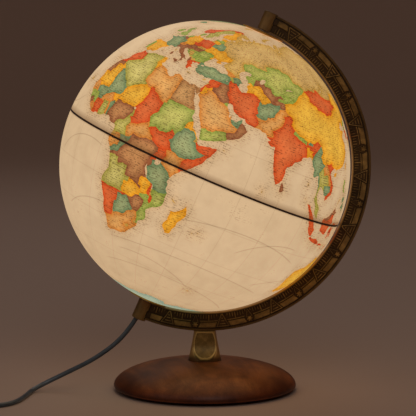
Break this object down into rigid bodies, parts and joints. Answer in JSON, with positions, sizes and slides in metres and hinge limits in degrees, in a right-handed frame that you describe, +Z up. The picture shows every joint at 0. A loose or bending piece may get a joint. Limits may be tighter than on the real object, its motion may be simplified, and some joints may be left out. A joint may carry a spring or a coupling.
{
  "type": "desktop globe on stand",
  "caption": "Illuminated desktop globe on a tilted axis, held by a graduated half-meridian arm on a short stem and a domed round wooden base, with a mains lead, in-line switch and plug.",
  "frame": {"origin": "centre of the round base, on the surface that the globe stands on", "axes": "+Z up; +X towards the graduated arm, whose plane is XZ, and the side that the polar axis leans to; +Y away from the side that shows Africa"},
  "size_m": [0.4806, 0.3, 0.3948],
  "materials": {
    "walnut": "stained and lacquered, satin",
    "felt": "felt, matt",
    "bronze": "antique bronze finish, satin",
    "brass_trim": "antique brass, satin",
    "dial": "golden brown, satin",
    "globe_map": "printed map, satin, translucent",
    "globe_inside": "white, matt",
    "steel": "zinc plated",
    "nickel": "nickel plated",
    "holder": "thermoset, black",
    "bulb": "clear",
    "filament": "phosphor coated",
    "cable": "smooth PVC, dark grey",
    "switch_case": "fine grained, black",
    "rocker": "polished, black"
  },
  "bodies": {
    "stand": {"base_disc": "walnut", "felt_pad": "felt", "stem": "bronze", "front_shield": "brass_trim", "rear_shield": "brass_trim", "stem_bolt": "steel", "stem_washer": "steel", "meridian_arm": "bronze", "upper_pivot_block": "bronze", "pivot_screw": "steel", "lower_pivot_block": "bronze", "lamp_tube": "steel", "thrust_washer": "holder", "tube_nut": "steel", "lamp_lead": "cable", "holder_cap": "holder", "lamp_holder": "holder", "bulb_cap": "nickel", "bulb_glass": "bulb", "filament_mount": "bulb", "led_filaments": "filament", "switch_lower": "switch_case", "switch_upper": "switch_case", "switch_screws": "steel", "plug_sleeve": "switch_case", "plug_body": "switch_case", "plug_pins": "nickel", "cord_to_switch": "cable", "cord_to_coil": "cable", "cord_to_plug": "cable", "cord_coil": "cable", "coil_tie": "holder"},
    "globe": {"north_hemisphere": "globe_map", "south_hemisphere": "globe_map", "equator_ring": "globe_inside", "north_bush": "globe_inside", "south_cap": "dial"},
    "dial": {"hour_dial": "dial"},
    "rocker": {"switch_rocker": "rocker"}
  },
  "joints": [
    {"name": "globe_spin", "type": "hinge", "parent": "stand", "child": "globe", "pos_m": [0, 0, 0.234], "axis": [0.3987, 0, 0.9171], "continuous": true},
    {"name": "dial_turn", "type": "hinge", "parent": "globe", "child": "dial", "pos_m": [0, 0, 0.234], "axis": [0.3987, 0, 0.9171], "continuous": true},
    {"name": "rocker_tilt", "type": "hinge", "parent": "stand", "child": "rocker", "pos_m": [-0.2641, -0.08175, 0.012], "axis": [-0.5446, -0.8387, 0], "range_deg": [-16, 0]}
  ]
}
